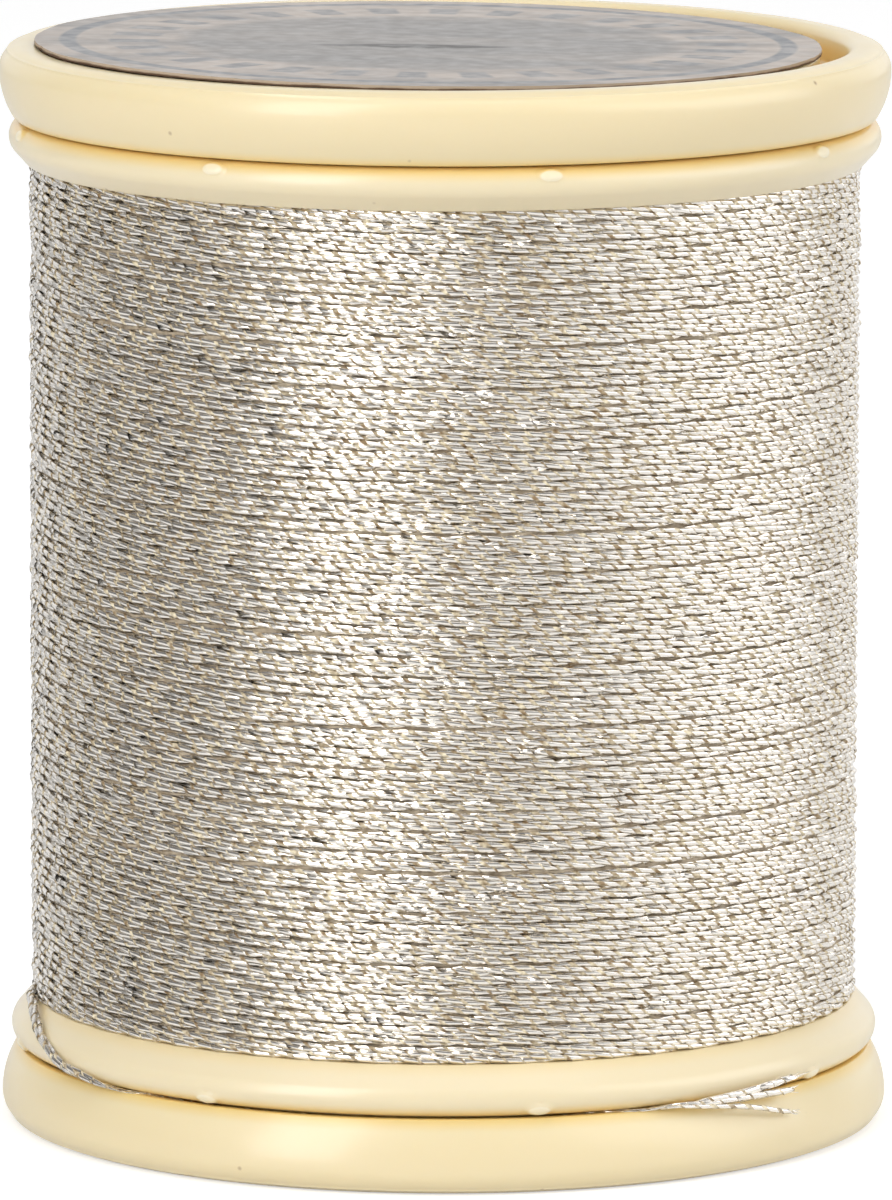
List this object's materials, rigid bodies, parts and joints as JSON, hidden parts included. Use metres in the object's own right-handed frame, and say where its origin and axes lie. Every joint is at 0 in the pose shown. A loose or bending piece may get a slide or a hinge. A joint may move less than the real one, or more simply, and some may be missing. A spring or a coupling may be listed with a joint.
{
  "type": "thread spool",
  "caption": "Small moulded thread spool wound with metallic thread, with snap end caps, a card label and a spool pin bore.",
  "frame": {"origin": "centre of the face that the spool stands on, the underside of the bottom cap", "axes": "+Z along the spool's axis, from the bottom cap to the labelled top cap; -Y towards the side where the thread's tail runs in the slit"},
  "size_m": [0.03, 0.03, 0.0367],
  "materials": {
    "barrel_plastic": "ivory moulded polystyrene, soft gloss",
    "cap_plastic": "ivory moulded polystyrene, soft gloss",
    "label_card": "silver-grey printed card with a satin foil face",
    "thread": "silver metallised film strip twisted round a tan core"
  },
  "bodies": {
    "barrel": {"spool_barrel": "barrel_plastic", "inner_winding": "thread", "outer_winding": "thread", "thread_tail": "thread"},
    "bottom_end": {"bottom_cap": "cap_plastic"},
    "top_end": {"top_cap": "cap_plastic", "top_label": "label_card"}
  },
  "joints": [
    {"name": "bottom_cap_snap", "type": "slide", "parent": "barrel", "child": "bottom_end", "axis": [0, 0, -1], "range_m": [0, 0.0008]},
    {"name": "top_cap_snap", "type": "slide", "parent": "barrel", "child": "top_end", "axis": [0, 0, 1], "range_m": [0, 0.0008]}
  ]
}
